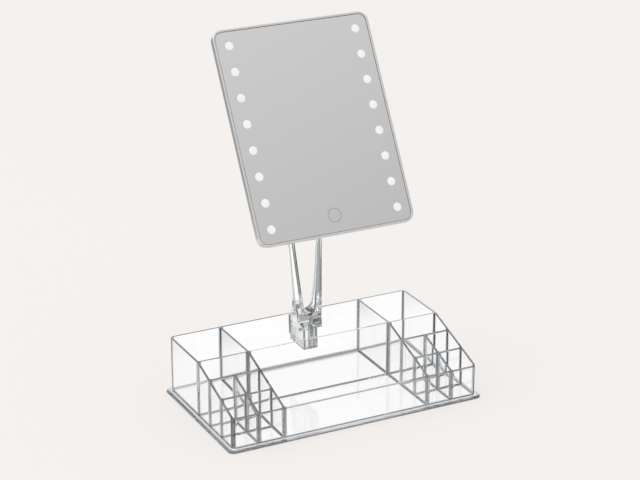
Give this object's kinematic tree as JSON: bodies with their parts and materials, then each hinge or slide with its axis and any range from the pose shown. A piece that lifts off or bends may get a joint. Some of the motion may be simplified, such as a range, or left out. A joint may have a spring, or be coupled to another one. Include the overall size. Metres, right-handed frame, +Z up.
{
  "type": "cosmetic organizer with mirror",
  "caption": "Clear desk organizer with open compartments and a lit rectangular mirror that tilts on a forked neck set in a socket.",
  "frame": {"origin": "centre of the base plate's underside, on the surface that the organizer stands on", "axes": "+Z up, front of the organizer and mirror towards -Y, +X to the right as seen from the front"},
  "size_m": [0.284, 0.164, 0.3793],
  "materials": {
    "clear_plastic": "polished clear moulding",
    "silver_plastic": "satin silver lacquer",
    "grey_plastic": "fine moulded grain",
    "white_plastic": "plain moulded",
    "dark_plastic": "plain moulded",
    "mirror": "silvered float glass",
    "window": "frosted, lit from behind",
    "ring_print": "printed line",
    "steel": "nickel plated",
    "green_board": "solder mask",
    "chip": "light chips",
    "wire": "insulated wire",
    "cell": "wrapped can"
  },
  "bodies": {
    "organizer": {"base_plate": "clear_plastic", "back_wall": "clear_plastic", "front_wall": "clear_plastic", "left_end_wall": "clear_plastic", "right_end_wall": "clear_plastic", "left_inner_wall": "clear_plastic", "right_inner_wall": "clear_plastic", "middle_cross_wall": "clear_plastic", "left_cross_wall_1": "clear_plastic", "left_cross_wall_2": "clear_plastic", "left_cross_wall_3": "clear_plastic", "right_cross_wall_1": "clear_plastic", "right_cross_wall_2": "clear_plastic", "right_cross_wall_3": "clear_plastic", "left_cell_walls": "clear_plastic", "right_cell_walls": "clear_plastic", "neck_socket": "clear_plastic"},
    "stand": {"neck": "clear_plastic", "hinge_bolt": "steel", "hinge_nut": "steel", "friction_washers": "white_plastic"},
    "head": {"head_frame": "silver_plastic", "hinge_bracket": "silver_plastic", "mirror_glass": "mirror", "light_windows": "window", "touch_ring": "ring_print", "touch_sensor": "green_board", "control_board": "green_board", "left_light_strip": "white_plastic", "right_light_strip": "white_plastic", "inner_tray": "white_plastic", "light_chips": "chip", "lead_wires": "wire", "battery_bay": "dark_plastic", "battery_contacts": "steel", "back_screws": "steel", "bracket_screws": "steel", "battery_cells": "cell", "back_cover": "grey_plastic"},
    "battery_door": {"battery_door": "grey_plastic"}
  },
  "joints": [
    {"name": "stand_lift", "type": "slide", "parent": "organizer", "child": "stand", "axis": [0, 0, 1], "range_m": [0, 0.03]},
    {"name": "head_tilt", "type": "hinge", "parent": "stand", "child": "head", "pos_m": [0, 0.05248, 0.274], "axis": [1, 0, 0], "range_deg": [-30, 30]},
    {"name": "door_slide", "type": "slide", "parent": "head", "child": "battery_door", "axis": [0, 0.497, 0.8678], "range_m": [0, 0.066]}
  ]
}
